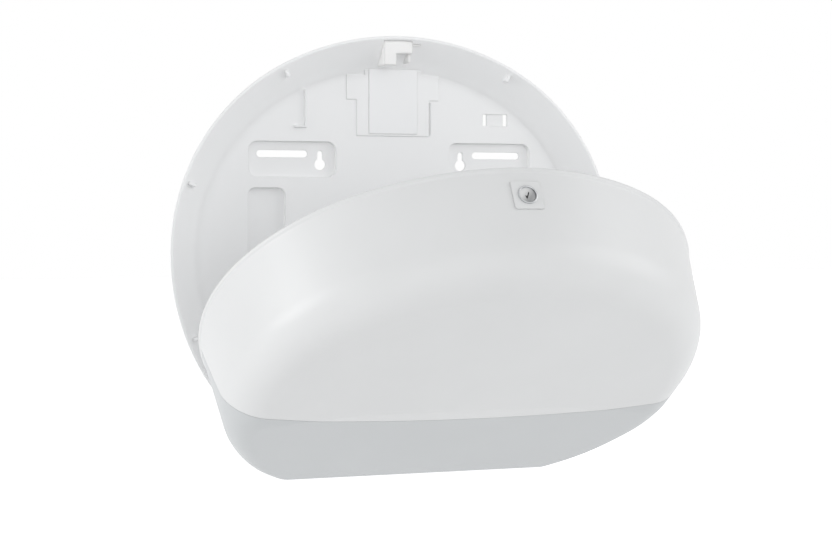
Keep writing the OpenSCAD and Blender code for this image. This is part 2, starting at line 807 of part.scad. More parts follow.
// Cylinder whose lower edge is the white and grey boundary
module above_border(extra) {
    translate([0, border_z, body_d]) rotate([-border_fall, 0, 0])
        translate([0, border_r, 0])
            cylinder(r = border_r + extra, h = 4 * far, center = true, $fn = 720);
}

module rear_strip(extra) {
    translate([-far, strip_z - extra, cover_d - 1])
        cube([2 * far, body_h, bead_w + 1 + extra]);
}

// Strip along the border, in front of the rear strip
module lap_zone() {
    difference() {
        above_border(lap_w);
        above_border(-lap_w);
        translate([-far, -far, -far]) cube([2 * far, 3 * far, far + cover_d + bead_w + 6]);
    }
}

// Places of the screws through the tongue, with Z pointing outwards
lap_screw_x = [-120, -60, 0, 60, 120];
function lap_z(x) = border_z + border_r - sqrt(border_r ^ 2 - x ^ 2) - lap_w / 2
    - (body_d - band_front(border_z, 0)) * tan(border_fall);

module lap_screw_places() {
    for (x = lap_screw_x) translate([x, lap_z(x), band_front(lap_z(x), shell_t)])
        rotate([band_lean, 0, 0]) children();
}

module lock_hole() {
    at_lock() translate([-bezel_w / 2 + 1.2, -bezel_w / 2 + 1.2, -12])
        cube([bezel_w - 2.4, bezel_w - 2.4, 24]);
}

// Shell with a tongue that runs down behind the band
module cover_shell() color("#eceff0") on_wall() swung() difference() {
    union() {
        intersection() {
            cover_solid(0);
            union() {
                above_border(0);
                rear_strip(0);
            }
        }
        intersection() {
            cover_solid(shell_t + lap_gap);
            lap_zone();
        }
    }
    difference() {
        cover_solid(shell_t);
        lap_zone();
    }
    cover_solid(shell_t + lap_gap + lap_t);
    translate([-far, cover_z - far, 0]) cube([2 * far, far, far]);
    corner_trim();
    lock_hole();
    lap_screw_places() translate([0, 0, -lap_t - 2]) cylinder(d = screw_d, h = lap_t + 3);
}

module lower_band() color("#c6cacb") on_wall() swung() difference() {
    cover_hollow();
    above_border(border_gap);
    rear_strip(border_gap);
    arm_screw_places() screw_hole();
    lap_screw_places() screw_hole();
}

// Blind hole in the band's inside for a screw
screw_skin = 0.8;
module screw_hole() {
    translate([0, 0, -0.5]) cylinder(d = screw_d, h = shell_t - screw_skin + 0.5);
}

module band_screws() color("#b8bcc0") on_wall() swung() lap_screw_places()
    translate([0, 0, shell_t - screw_skin]) mirror([0, 0, 1])
        screw(shell_t - screw_skin + lap_gap + lap_t);

// ---------------------------------------------------------------- hinge arms

foot_t = 3;
foot_w = 16;
foot_screws_z = [foot_z0 + 6, foot_z1 - 6];

// Places on the inside of the band's front, with Z pointing outwards
module arm_screw_places() {
    for (side = [-1, 1], z = foot_screws_z)
        translate([side * (arm_x0 - foot_w / 2 + 1), z, band_front(z, shell_t)])
            rotate([band_lean, 0, 0]) children();
}

module hinge_arm(side) color("#d3d7d8") on_wall() swung() difference() {
    union() {
        slab(side * arm_x0, side * arm_x1) {
            translate([hinge_z, hinge_d]) circle(r = knuckle_r);
            hinge_ring(knuckle_r - 1, stop_r, lug_a0, lug_a1);
            polygon([
                [hinge_z + 5, hinge_d], [foot_z1 - 12, wing_d - 6],
                [foot_z1, band_front(foot_z1, shell_t)],
                [foot_z0, band_front(foot_z0, shell_t)],
                [foot_z0 + 1, wing_d - 8], [hinge_z - 6, hinge_d]
            ]);
        }
        slab(side * (arm_x0 - foot_w), side * (arm_x0 + 1)) polygon([
            [foot_z0, band_front(foot_z0, shell_t + foot_t)],
            [foot_z0, band_front(foot_z0, shell_t)],
            [foot_z1, band_front(foot_z1, shell_t)],
            [foot_z1, band_front(foot_z1, shell_t + foot_t)]
        ]);
    }
    translate([-far, hinge_z, hinge_d]) rotate([0, 90, 0])
        cylinder(d = pin_d + 2 * pin_clear, h = 2 * far);
    arm_screw_places() translate([0, 0, -foot_t - 1]) cylinder(d = screw_d, h = foot_t + 2);
}

module hinge_arm_left() hinge_arm(-1);
module hinge_arm_right() hinge_arm(1);

module arm_screws() color("#b8bcc0") on_wall() swung() arm_screw_places()
    translate([0, 0, shell_t - screw_skin]) mirror([0, 0, 1])
        screw(foot_t + shell_t - screw_skin);

// ---------------------------------------------------------------------- lock

// Frame of the lock: Z points out through the cover's wall, Y to the rear
module at_lock() {
    translate([0, lock_z, lock_d]) rotate([draft - 90, 0, 0]) children();
}

bezel_t = 1.1;
barrel_d = plug_d + 2.6;
nut_t = 3;
washer_z = -shell_t - 1.2;
cam_z1 = bezel_t - barrel_l - 0.4;
cam_hub = 7;
tooth_x = -11;
tooth_y = (lock_d + cam_z1 * sin(draft) - ear_back + catch_gap) / cos(draft);
cam_l = tooth_y + hook_w;

module lock_part() {
    on_wall() swung() at_lock() children();
}

module lock_bezel() color("#e8ebec") lock_part() difference() {
    union() {
        translate([0, 0, 0.05]) linear_extrude(bezel_t - 0.05)
            rounded_rect(bezel_w, bezel_w, 2);
        translate([0, 0, washer_z]) linear_extrude(-washer_z + 0.5)
            square(bezel_w - 2.8, center = true);
    }
    translate([0, 0, -10]) cylinder(d = barrel_d, h = 20);
}

module lock_barrel() color("#a9adb0") lock_part() difference() {
    union() {
        translate([0, 0, bezel_t]) cylinder(d = head_d, h = 1.3);
        translate([0, 0, bezel_t - barrel_l]) cylinder(d = barrel_d, h = barrel_l);
    }
    translate([0, 0, bezel_t - barrel_l - 1])
        cylinder(d = plug_d + 2 * plug_clear, h = barrel_l + 10);
}

module lock_washer() color("#bfc3c7") lock_part()
    translate([0, 0, washer_z - 1]) difference() {
        linear_extrude(1) rounded_rect(bezel_w + 2, bezel_w + 2, 3);
        translate([0, 0, -1]) cylinder(d = barrel_d + 0.2, h = 4);
    }

module lock_nut() color("#b5b9bd") lock_part()
    translate([0, 0, washer_z - 1 - nut_t]) difference() {
        cylinder(d = barrel_d + 8, h = nut_t, $fn = 6);
        translate([0, 0, -1]) cylinder(d = barrel_d, h = nut_t + 2);
    }

module lock_plug() color("#9ea2a6") lock_part() difference() {
    union() {
        translate([0, 0, bezel_t - barrel_l - 0.3])
            cylinder(d = plug_d, h = barrel_l + 0.3 + 1);
        translate([-cam_hub / 2, -cam_hub / 2, cam_z1 - cam_t])
            cube([cam_hub, cam_hub, cam_t + 0.4]);
    }
    translate([-0.7, -3.6, bezel_t - 6]) cube([1.4, 7.2, 20]);
    translate([0, 0, cam_z1 - cam_t - 1]) cylinder(d = 3, h = 9);
}

module lock_cam() color("#b9bdc1") lock_part() rotate([0, 0, -90])
    translate([0, 0, cam_z1 - cam_t]) linear_extrude(cam_t) difference() {
        union() {
            circle(r = cam_hub / 2 + 4);
            translate([-3.5, 0]) square([7, cam_l]);
            translate([tooth_x, tooth_y]) square([-tooth_x + 1, cam_l - tooth_y]);
        }
        square(cam_hub, center = true);
    }

module cam_screw() color("#b0b4b8") lock_part() translate([0, 0, cam_z1 - cam_t - 2])
    difference() {
        union() {
            cylinder(d = 8.5, h = 2);
            cylinder(d = 3, h = 9);
        }
        translate([-3, -0.5, -1]) cube([6, 1, 1.9]);
    }

back_plate();
latch_keeper();
label_panel();
spindle_carrier();
carrier_screws();
spindle_axle();
roll_spindle();
spindle_washer();
spindle_screw();
brake_leaf();
bottom_frame();
frame_screws();
tear_bar_left();
tear_bar_right();
tear_bar_rivets();
hinge_pin_left();
hinge_pin_right();
cover_shell();
lower_band();
hinge_arm_left();
hinge_arm_right();
arm_screws();
band_screws();
lock_bezel();
lock_barrel();
lock_washer();
lock_nut();
lock_plug();
lock_cam();
cam_screw();
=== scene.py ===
"""Looks of the jumbo toilet roll dispenser: smooth moulded cover skins, a domed key plug, plastics,
metals and a soft studio.

Lengths of the shapes are in millimetres, in the closed cover's wall frame (x, height, depth out
from the wall), and opened() turns them into the shared frame in metres.
"""
from math import atan2, cos, pi, radians, sin, tan

import bpy
import numpy as np
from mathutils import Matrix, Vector


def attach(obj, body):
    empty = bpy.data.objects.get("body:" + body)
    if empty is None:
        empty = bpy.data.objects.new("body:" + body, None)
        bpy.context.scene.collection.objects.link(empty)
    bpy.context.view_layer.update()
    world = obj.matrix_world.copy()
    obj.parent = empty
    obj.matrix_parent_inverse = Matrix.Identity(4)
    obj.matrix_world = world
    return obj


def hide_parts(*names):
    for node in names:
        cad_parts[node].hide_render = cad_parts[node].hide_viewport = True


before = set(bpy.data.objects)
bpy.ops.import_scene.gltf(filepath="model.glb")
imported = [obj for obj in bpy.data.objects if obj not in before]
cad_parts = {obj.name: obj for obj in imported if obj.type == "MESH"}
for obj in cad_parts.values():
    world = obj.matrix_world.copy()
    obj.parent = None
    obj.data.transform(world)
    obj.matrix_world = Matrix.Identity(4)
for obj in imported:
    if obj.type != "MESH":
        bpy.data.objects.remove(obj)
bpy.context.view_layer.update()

# ------------------------------------------------------------------ measures
MM = 0.001                      # a millimetre in metres

# Outline of the body, five arcs that meet smoothly
BODY_W = 437.0                  # width across the widest line
ARCH_H = 202.0                  # height of the arch above the widest line
SKIRT_H = 158.0                 # height of the widest line above the foot
ARCH_EASE = 6.0                 # how much tighter the side arcs are than the arch is high
SKIRT_R = 211.0                 # radius of the lower side arcs
SIDE_R = ARCH_H - ARCH_EASE
SIDE_CX = BODY_W / 2 - SIDE_R
SKIRT_CX = BODY_W / 2 - SKIRT_R
TOP_R = (SIDE_CX ** 2 + ARCH_H ** 2 - SIDE_R ** 2) / (2 * (ARCH_H - SIDE_R))
TOP_CZ = SKIRT_H + ARCH_H - TOP_R
TOP_HALF = atan2(SIDE_CX, TOP_R - ARCH_H)

# Back plate
RIM_D = 31.0                    # depth of the rim's edge
RIM_LIP = 2.4                   # flat lip on the rim
FLANK_W = 29.0                  # sloping flank, measured in from the edge
BASE_D = 8.0                    # depth of the flat base
CREASE_W = 11.0                 # half the width over which the flank turns into the base

# Cover
BODY_D = 132.0                  # depth to the middle of the front
SEAM = 1.4                      # gap between the plate's rim and the cover
COVER_D = RIM_D + SEAM
COVER_Z = 3.0                   # height of the cover's lower edge
SHELL_T = 2.8                   # wall
DRAFT = radians(6.3)
BEAD_H, BEAD_W = 0.9, 4.5       # raised strip along the rear edge
BEAD_FLAT = 0.45                # share of the strip's width that lies level
EDGE_FLAT = 0.2                 # square rear edge before the strip
BEND_R = 37.0                   # edge bend round the arch
EDGE_R, CORNER_R = 20.0, 11.0   # the same along the band, and at the band's foot
EDGE_EASE = 0.45                # how far below level a wall faces, as a sine, where EDGE_R is reached
FOOT_FROM, FOOT_EASE = 0.4, 0.33    # the same sine where CORNER_R's easing starts, and its length
CROWN_A, CROWN_W = radians(1.8), 84.0   # slope and width of the front's rim
BAND_D, LEAN = 112.0, radians(7.6)      # depth of the band at its foot, and its lean
BORDER_Z = 133.0                # lowest point of the line between the white and the grey
BORDER_R, BORDER_FALL = 1300.0, radians(25)     # its radius, and its fall to the rear
BORDER_GAP = 0.3                # between the two skins
STRIP_Z = 52.0                  # height down to which the rear strip is white
LAP_W, LAP_T = 9.0, 2.0         # the shell's tongue behind the band
LAP_GAP, LAP_REAR = 0.05, 6.0   # its gap to the band, and its distance from the rear strip
OPEN_A, HINGE_D, HINGE_Z = radians(54), 49.0, 17.0  # opening, and the hinge's depth and height

# Rows of points along the cover's section: strip, wall, bend, band, crown, and on to the middle
BEAD_ROWS, WALL_ROWS, BEND_ROWS, BAND_ROWS, CROWN_ROWS, MIDDLE_ROWS = 7, 12, 22, 7, 13, 8

# Lock. Its Z and BACK values are counted from the cover's top wall, out along its axis
LOCK_D = 57.0                   # depth of the axis, and below it the wall's height there
LOCK_Z = SKIRT_H + ARCH_H - BEAD_H - (LOCK_D - COVER_D) * tan(DRAFT)
BEZEL_W, BEZEL_T = 25.0, 1.1    # square plate under the barrel's head
LOCK_HOLE = BEZEL_W - 3         # side of the square hole below the bezel
TOP_WALL_Z = 300.0              # the cover is pierced above this height only
BARREL_R, HEAD_R, HEAD_Z = 7.1, 8.2, 2.4
HEAD_ROUND = ((0, 0.5), (0.12, 0.15), (0.4, 0))     # the head's outer edge: inset and drop
SEAT_R, SEAT_Z = 6.95, 1.15     # recess in the barrel's head
SEAT_ROUND = ((0.35, 0), (0, 0.3))                  # the recess's rim: outset and drop
PLUG_R, PLUG_BACK = 5.8, -19.2
PLUG_GAP = 0.05                 # between the plug and the barrel's bore
PLUG_WALL, PLUG_END = 0.9, 0.7  # the stem's wall and its rear end
CAP_R, CAP_EDGE, CAP_DOME = 6.85, 1.25, 0.85        # the cap's radius, rim height and rise
CAP_BACK = SEAT_Z + 0.02        # the cap's underside, just clear of the seat
HUB_W, HUB_BACK, HUB_SINK = 7.0, -22.3, 0.3
KEYHOLE_W = 0.9
KEYHOLE = ((0.8, 1.5), (-1.4, -3.4), (-2.1, -1.4))  # three points along its middle line
RING_STEPS = 97                 # points round a turned piece
CAP_ROWS, CAP_STEPS = 57, 145   # points of the cap outwards, and round it

SHARP_A = radians(32)           # edges that turn by more than this stay sharp
WELD = 0.0005                   # points that round to the same multiple of this become one
ON_LINE = 1e-7                  # a level nearer to 0 than this counts as just inside
PARALLEL = 1e-4                 # slopes nearer to each other than this never cross

# Studio, in metres and watts
FLOOR_Z, FLOOR_HALF, FLOOR_GLOW = -0.62, 20.0, 0.5
SKY = 0.68                      # strength of the world's light on the object
LAMP_AIM = (0, -0.1, 0.15)
LAMPS = {                       # place, width, power
    "key from the left": ((-2.8, -0.3, 0.6), 1.6, 26),
    "front": ((-0.2, -2.8, 0.3), 2.4, 10.5),
    "fill from the right": ((2.2, -1.2, 1.0), 2.0, 16),
}
EYE, EYE_AIM, LENS = (-0.5836, -1.6829, 0.1997), (0.0262, 0, 0.134), 81.17


# -------------------------------------------------------------------- meshes
def opened(p):
    """Wall frame (x, height, depth) to the shared frame in metres, turned about the hinge line by
    the opening angle."""
    x, up, out = p[..., 0], p[..., 1] - HINGE_Z, p[..., 2] - HINGE_D
    height = HINGE_Z + up * cos(OPEN_A) - out * sin(OPEN_A)
    depth = HINGE_D + out * cos(OPEN_A) + up * sin(OPEN_A)
    return np.stack([x, -depth, height], -1) * MM


def put_in_scene(name, data):
    """A new object that carries the given data, linked to the scene."""
    obj = bpy.data.objects.new(name, data)
    bpy.context.scene.collection.objects.link(obj)
    return obj


def make_piece(name, verts, faces, body, replaces, slot, material):
    """A mesh object at the origin from arrays of points and triangles, which rides on a body, takes
    the place of CAD nodes and carries the material. The slot argument is not used."""
    mesh = bpy.data.meshes.new(name)
    mesh.vertices.add(len(verts))
    mesh.vertices.foreach_set("co", np.asarray(verts, np.float32).ravel())
    mesh.loops.add(faces.size)
    mesh.loops.foreach_set("vertex_index", np.asarray(faces, np.int32).ravel())
    mesh.polygons.add(len(faces))
    mesh.polygons.foreach_set("loop_start", np.arange(0, faces.size, 3, dtype=np.int32))
    mesh.update(calc_edges=True)
    mesh.validate()
    mesh.set_sharp_from_angle(angle=SHARP_A)
    mesh.materials.append(material)
    obj = put_in_scene(name, mesh)
    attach(obj, body)
    if replaces:
        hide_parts(*replaces)


def grid_faces(rows, cols):
    """Two triangles for each cell of a grid of rows by cols points."""
    i = np.arange(rows * cols).reshape(rows, cols)
    a, b, c, d = i[:-1, :-1].ravel(), i[:-1, 1:].ravel(), i[1:, 1:].ravel(), i[1:, :-1].ravel()
    return np.concatenate([np.stack([a, b, c], 1), np.stack([a, c, d], 1)])


def welded(verts, faces):
    """Makes near points one, and drops faces without area and points that nothing uses."""
    key = np.round(verts / WELD).astype(np.int64)
    _, first, back = np.unique(key, axis=0, return_index=True, return_inverse=True)
    verts, faces = verts[first], back.reshape(-1)[faces]
    a, b, c = faces.T
    faces = faces[(a != b) & (b != c) & (a != c)]
    used, back = np.unique(faces, return_inverse=True)
    return verts[used], back.reshape(faces.shape)


def keep_where(verts, faces, level):
    """Cuts a triangle sheet along level = 0 and keeps the part where level is positive: whole
    triangles stay, and crossed ones are cut at the straight-line zero of each edge."""
    level = np.where(np.abs(level) < ON_LINE, ON_LINE, level)
    inside = level[faces] > 0
    count = inside.sum(1)
    kept, points, base = [faces[count == 3]], [verts], len(verts)
    for want in (1, 2):
        tri, flag = faces[count == want], inside[count == want]
        if not len(tri):
            continue
        odd = np.argmax(flag if want == 1 else ~flag, axis=1)
        row = np.arange(len(tri))
        a, b, c = tri[row, odd], tri[row, (odd + 1) % 3], tri[row, (odd + 2) % 3]
        for end in (b, c):
            t = (level[a] / (level[a] - level[end]))[:, None]
            points.append(verts[a] * (1 - t) + verts[end] * t)
        ab, ac = base + row, base + len(tri) + row
        base += 2 * len(tri)
        if want == 1:
            kept.append(np.stack([a, ab, ac], 1))
        else:
            kept += [np.stack([ab, b, c], 1), np.stack([ab, c, ac], 1)]
    return welded(np.concatenate(points), np.concatenate(kept))


def cut(sheet, level):
    """Keeps the part of a wall where level, a function of the outer points, is positive."""
    return keep_where(*sheet, level(sheet[0]))


def closed_wall(verts, faces):
    """Closed mesh of a wall whose points have six columns, the outer point and the inner: the
    outer sheet, the inner sheet turned over and a rim between them."""
    n = len(verts)
    edges = np.concatenate([faces[:, [0, 1]], faces[:, [1, 2]], faces[:, [2, 0]]])
    code, back = edges[:, 0] * n + edges[:, 1], edges[:, 1] * n + edges[:, 0]
    a, b = edges[~np.isin(code, back)].T
    rim = np.concatenate([np.stack([b, a, a + n], 1), np.stack([b, a + n, b + n], 1)])
    points = opened(np.concatenate([verts[:, :3], verts[:, 3:]]))
    return points, np.concatenate([faces, faces[:, ::-1] + n, rim])


def joined(*parts):
    """One mesh from several pairs of points and faces."""
    starts = np.cumsum([0] + [len(verts) for verts, _ in parts])
    faces = [faces + start for (_, faces), start in zip(parts, starts)]
    return np.concatenate([verts for verts, _ in parts]), np.concatenate(faces)


def smooth(t):
    """Soft step: 0 up to 0, 3 t² - 2 t³ between, 1 from 1 on."""
    t = np.clip(t, 0, 1)
    return t * t * (3 - 2 * t)


# ----------------------------------------------------------- the cover's form
def outline_arcs(turn):
    """Centre and radius of the oval's arc whose outward normal points along turn."""
    top = np.abs(turn - pi / 2) < TOP_HALF
    low = turn % (2 * pi) > pi
    side = np.where(np.cos(turn) < 0, -1.0, 1.0)
    cx = np.where(top, 0.0, np.where(low, SKIRT_CX, SIDE_CX) * side)
    cz = np.where(top, TOP_CZ, SKIRT_H)
    r = np.where(top, TOP_R, np.where(low, SKIRT_R, SIDE_R))
    return cx, cz, r


def bend_radius(turn):
    """Radius of the edge bend by normal direction: the full bend round the arch, easing to the
    band's edge and then to the tighter edge at the foot of the side walls."""
    up = np.sin(turn)
    arch = (BEND_R - EDGE_R) * smooth((up + EDGE_EASE) / EDGE_EASE)
    foot = (EDGE_R - CORNER_R) * smooth((-FOOT_FROM - up) / FOOT_EASE)
    return EDGE_R + arch - foot


def cover_sections(turn, off):
    """The closed cover's section for each normal direction, as inset and depth, moved in by off.
    A section runs up the draughted wall, round a bend, and along the lower of two front lines,
    the crowned front and the leaning band's face. The bend's centre is where the wall and that
    front line, both moved in by the bend's radius, cross."""
    _, cz, arc_r = outline_arcs(turn)
    r = bend_radius(turn) - off
    wall_t, crown_t = tan(DRAFT), tan(CROWN_A)

    # The crown's rim: its inset follows from the full bend round the arch
    full_d = BODY_D - CROWN_W * crown_t - BEND_R * cos(CROWN_A)
    full_i = BEAD_H + (full_d - COVER_D) * wall_t + BEND_R / cos(DRAFT)
    crown_i = full_i - BEND_R * sin(CROWN_A) + CROWN_W

    # The two front lines, depth = start + slope * inset, and the wall's, moved in by the bend
    crown_0 = BODY_D - off - crown_i * crown_t
    band_t = -tan(LEAN) * np.sin(turn)
    band_0 = BAND_D + (cz + arc_r * np.sin(turn)) * tan(LEAN) - off / cos(LEAN)
    wall_0 = BEAD_H - COVER_D * wall_t + (off + r) / cos(DRAFT)
    by_crown = (crown_0 + crown_t * wall_0 - r / cos(CROWN_A)) / (1 - crown_t * wall_t)
    by_band = (band_0 + band_t * wall_0 - r * np.hypot(1, band_t)) / (1 - band_t * wall_t)
    bend_d = np.minimum(by_crown, by_band)
    bend_i = wall_0 + bend_d * wall_t
    end_a = pi / 2 - np.where(by_band < by_crown, np.arctan(band_t), CROWN_A)
    end_i = bend_i - r * np.cos(end_a)
    slopes = crown_t - band_t
    cross = (band_0 - crown_0) / np.where(np.abs(slopes) < PARALLEL, np.inf, slopes)
    cross = np.clip(cross, end_i + 1, crown_i - 1)

    # The raised strip along the rear edge, the wall, the bend and the front
    edge_i = off / cos(DRAFT)
    rise = BEAD_H + BEAD_W * wall_t
    rows = [(edge_i, COVER_D), (edge_i, COVER_D + EDGE_FLAT)]
    for k in np.linspace(0, 1, BEAD_ROWS):
        d = COVER_D + BEAD_W * (BEAD_FLAT + (1 - BEAD_FLAT) * k)
        rows.append((edge_i + rise * smooth(k), d))
    wall_d = bend_d + r * sin(DRAFT) - COVER_D - BEAD_W
    for k in np.linspace(0.02, 0.98, WALL_ROWS):
        d = COVER_D + BEAD_W + wall_d * k
        rows.append((edge_i + BEAD_H + (d - COVER_D) * wall_t, d))
    for k in np.linspace(0, 1, BEND_ROWS):
        a = DRAFT + (end_a - DRAFT) * k
        rows.append((bend_i - r * np.cos(a), bend_d + r * np.sin(a)))
    front = [end_i + (cross - end_i) * k for k in np.linspace(0, 1, BAND_ROWS + 1)[1:]]
    front += [cross + (crown_i - cross) * k for k in np.linspace(0, 1, CROWN_ROWS + 1)[1:]]
    rows += [(i, np.minimum(crown_0 + crown_t * i, band_0 + band_t * i)) for i in front]
    flat = np.ones_like(turn)
    return np.stack([np.stack([i * flat, d * flat], -1) for i, d in rows], 1)


def cover_sheet(turns, off):
    """Sheet of the whole closed cover: for a normal direction t and a section point (inset,
    depth), the point is the arc's centre plus (radius - inset) along t, at that depth. The last
    rows draw in to the point where the front meets the band."""
    section = cover_sections(turns, off)
    cx, cz, arc_r = (value[:, None] for value in outline_arcs(turns))
    reach = arc_r - section[..., 0]
    x = cx + reach * np.cos(turns)[:, None]
    height = cz + reach * np.sin(turns)[:, None]
    p = np.stack([x, height, section[..., 1]], -1)
    middle = np.array([0, (BODY_D - BAND_D) / tan(LEAN), BODY_D - off])
    ring, share = p[:, -1:], np.linspace(0, 1, MIDDLE_ROWS + 1)[1:, None]
    p = np.concatenate([p, ring + (middle - ring) * share], 1)
    p = np.concatenate([p, p[:1]]).transpose(1, 0, 2)
    return p.reshape(-1, 3), grid_faces(*p.shape[:2])


def wall_sheet(turns, off, thickness):
    """Outer and inner sheet of a wall side by side: six columns, the outer point and the inner."""
    outer, faces = cover_sheet(turns, off)
    inner, _ = cover_sheet(turns, off + thickness)
    return welded(np.concatenate([outer, inner], 1), faces)


# Levels for the cuts: each is positive on the side that stays
def above_foot(p):
    """Height above the cover's lower edge."""
    return p[:, 1] - COVER_Z


def clear_of_hinge(p):
    """Positive above or in front of the hinge line, and behind and below it within a quarter
    circle about it, which rounds the lower rear corner."""
    up, out = p[:, 1] - HINGE_Z, p[:, 2] - HINGE_D
    corner = HINGE_D - COVER_D - np.hypot(up, out)
    return np.where((up > 0) | (out > 0), np.maximum(np.maximum(up, out), corner), corner)


def above_border(p):
    """Distance above the line between the white and the grey, a circle seen along a line that
    falls to the rear."""
    height = (p[:, 1] - BORDER_Z) * cos(BORDER_FALL) + (BODY_D - p[:, 2]) * sin(BORDER_FALL)
    return BORDER_R - np.hypot(p[:, 0], height - BORDER_R)


def in_white(p):
    """Above the border, or in the rear strip above its lower end."""
    return np.maximum(above_border(p), np.minimum(p[:, 1] - STRIP_Z, COVER_D + BEAD_W - p[:, 2]))


def in_grey(p):
    """Below the border, except for the rear strip above its lower end, with a gap to the white."""
    rear = np.maximum(STRIP_Z - BORDER_GAP - p[:, 1], p[:, 2] - COVER_D - BEAD_W - BORDER_GAP)
    return np.minimum(-above_border(p) - BORDER_GAP, rear)


def in_lap(p):
    """Within the lap's width of the border, and some way in front of the rear strip."""
    return np.minimum(LAP_W - np.abs(above_border(p)), p[:, 2] - COVER_D - BEAD_W - LAP_REAR)


def round_lock(p):
    """Outside the lock's square hole, which pierces the top wall only."""
    beside = np.maximum(np.abs(p[:, 0]), np.abs(p[:, 2] - LOCK_D)) - LOCK_HOLE / 2
    return np.maximum(beside, TOP_WALL_Z - p[:, 1])


# ------------------------------------------------------------ the lock's form
def lock_point(x, y, z):
    """The lock's frame (across, towards the wall, out through the cover) to the wall frame."""
    height = LOCK_Z + y * sin(DRAFT) + z * cos(DRAFT)
    return np.stack([x, height, LOCK_D - y * cos(DRAFT) + z * sin(DRAFT)], -1)


def lock_sheet(x, y, front, back):
    """Front and rear points of a solid of the lock, as six columns."""
    flat = np.ones_like(x)
    return np.concatenate([lock_point(x, y, front * flat), lock_point(x, y, back * flat)], 1)


def keyhole_gap(x, y):
    """Distance from the edge of the bent keyhole, positive outside it: the distance to the nearer
    of its two legs, less half its width."""
    legs = []
    for (ax, ay), (bx, by) in zip(KEYHOLE, KEYHOLE[1:]):
        lx, ly = bx - ax, by - ay
        t = np.clip(((x - ax) * lx + (y - ay) * ly) / (lx * lx + ly * ly), 0, 1)
        legs.append(np.hypot(x - ax - lx * t, y - ay - ly * t))
    return np.minimum(*legs) - KEYHOLE_W / 2


def lathe(profile):
    """Turns a closed profile of (radius, height) points about the lock's axis."""
    r, z = np.array([*profile, profile[0]]).T
    turn = np.linspace(0, 2 * pi, RING_STEPS)
    x, y = (r[:, None] * np.cos(turn)).ravel(), (r[:, None] * np.sin(turn)).ravel()
    points = lock_point(x, y, np.repeat(z, RING_STEPS))
    verts, faces = welded(points, grid_faces(len(r), RING_STEPS))
    return opened(verts), faces


def plug_cap():
    """The plug's domed face, whose height falls with the square of the radius, with its keyhole."""
    r, turn = np.linspace(0, CAP_R, CAP_ROWS)[:, None], np.radians(np.linspace(360, 0, CAP_STEPS))
    x, y = (r * np.cos(turn)).ravel(), (r * np.sin(turn)).ravel()
    dome = CAP_EDGE + CAP_DOME * (1 - (x ** 2 + y ** 2) / CAP_R ** 2)
    sheet = lock_sheet(x, y, dome, CAP_BACK)
    return closed_wall(*keep_where(sheet, grid_faces(CAP_ROWS, CAP_STEPS), keyhole_gap(x, y)))


def plug_stem():
    """Hollow stem behind the face, so that the keyhole looks deep."""
    inner, end = PLUG_R - PLUG_WALL, PLUG_BACK + PLUG_END
    return lathe([(0, PLUG_BACK), (PLUG_R, PLUG_BACK), (PLUG_R, CAP_BACK), (inner, CAP_BACK),
                  (inner, end), (0, end)])


def plug_hub():
    """Square end that carries the cam."""
    x, y = np.array([-1, 1, 1, -1]) * HUB_W / 2, np.array([-1, -1, 1, 1]) * HUB_W / 2
    sheet = lock_sheet(x, y, PLUG_BACK + HUB_SINK, HUB_BACK)
    return closed_wall(sheet, np.array([[0, 1, 2], [0, 2, 3]]))


def barrel():
    """Barrel with a rounded head and the recess in which the plug's face sits."""
    bore, back = PLUG_R + PLUG_GAP, PLUG_BACK + HUB_SINK
    edge = [(HEAD_R - inset, HEAD_Z - drop) for inset, drop in HEAD_ROUND]
    rim = [(SEAT_R + outset, HEAD_Z - drop) for outset, drop in SEAT_ROUND]
    return lathe([(BARREL_R, back), (BARREL_R, BEZEL_T), (HEAD_R, BEZEL_T), *edge, *rim,
                  (SEAT_R, SEAT_Z), (bore, SEAT_Z), (bore, back)])


# --------------------------------------------------------------------- looks
def math_op(operation):
    """A method of Val that adds one Math node, on the value itself and any others."""
    def method(self, *others):
        values = dict(enumerate((self, *others)))
        return self.graph.node("ShaderNodeMath", {"operation": operation}, values)
    return method


class Val:
    """A socket's value with the usual operators, each of which adds Math nodes."""

    def __init__(self, graph, socket):
        self.graph, self.socket = graph, socket

    def __rsub__(self, other):
        return self * -1.0 + other

    __add__ = __radd__ = math_op("ADD")
    __sub__ = math_op("SUBTRACT")
    __mul__ = __rmul__ = math_op("MULTIPLY")
    __truediv__ = math_op("DIVIDE")
    __abs__ = math_op("ABSOLUTE")
    below = math_op("LESS_THAN")
    above = math_op("GREATER_THAN")
    power = math_op("POWER")
    sine = math_op("SINE")
    cosine = math_op("COSINE")


class Graph:
    """A node tree that is built from expressions."""

    def __init__(self, tree):
        self.tree = tree

    def node(self, kind, settings, values, output=0):
        """Adds a node of the given kind. Its settings are set before the values of its sockets."""
        n = self.tree.nodes.new(kind)
        for key, value in settings.items():
            setattr(n, key, value)
        for key, value in values.items():
            self.put(n.inputs[key], value)
        return Val(self, n.outputs[output])

    def put(self, socket, value):
        """Links a value to a socket, or sets a plain number or colour on it."""
        if isinstance(value, Val):
            self.tree.links.new(value.socket, socket)
        else:
            socket.default_value = value

    def seen_directly(self):
        """1 for rays from the camera and those that a gloss or a clear piece sends on, else 0."""
        camera, gloss, clear = (self.node("ShaderNodeLightPath", {}, {}, f"Is {kind} Ray")
                                for kind in ("Camera", "Glossy", "Transmission"))
        return (camera + gloss + clear).above(0.5)


